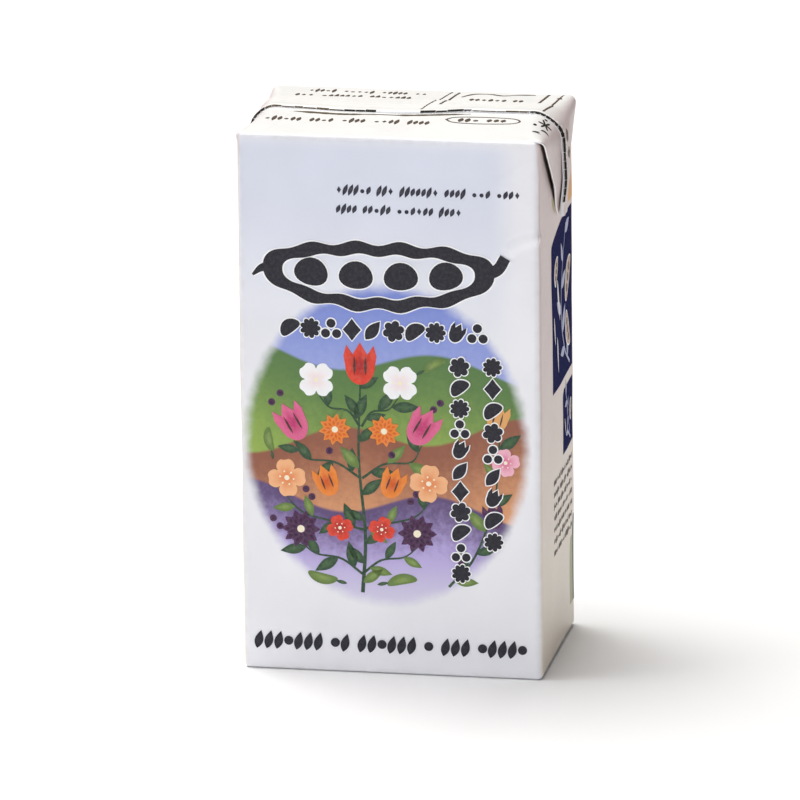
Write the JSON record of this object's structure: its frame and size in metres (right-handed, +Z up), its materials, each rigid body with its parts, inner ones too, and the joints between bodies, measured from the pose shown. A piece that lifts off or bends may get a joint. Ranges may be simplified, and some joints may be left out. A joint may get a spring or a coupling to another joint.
{
  "type": "brick carton of tofu",
  "caption": "Sealed upright brick carton of tofu in white laminated board, with folded ears, a flattened top seal and an overlapped back seam.",
  "frame": {"origin": "centre of the base, on the surface that the pack stands on", "axes": "+Z up through the pack, -Y out of the printed front, +X to the right as seen from the front"},
  "size_m": [0.0658, 0.0425, 0.1156],
  "materials": {
    "printed_board": "satin plastic-coated board, white with a printed front, sides and top"
  },
  "bodies": {
    "root": {"carton": "printed_board"}
  },
  "joints": []
}
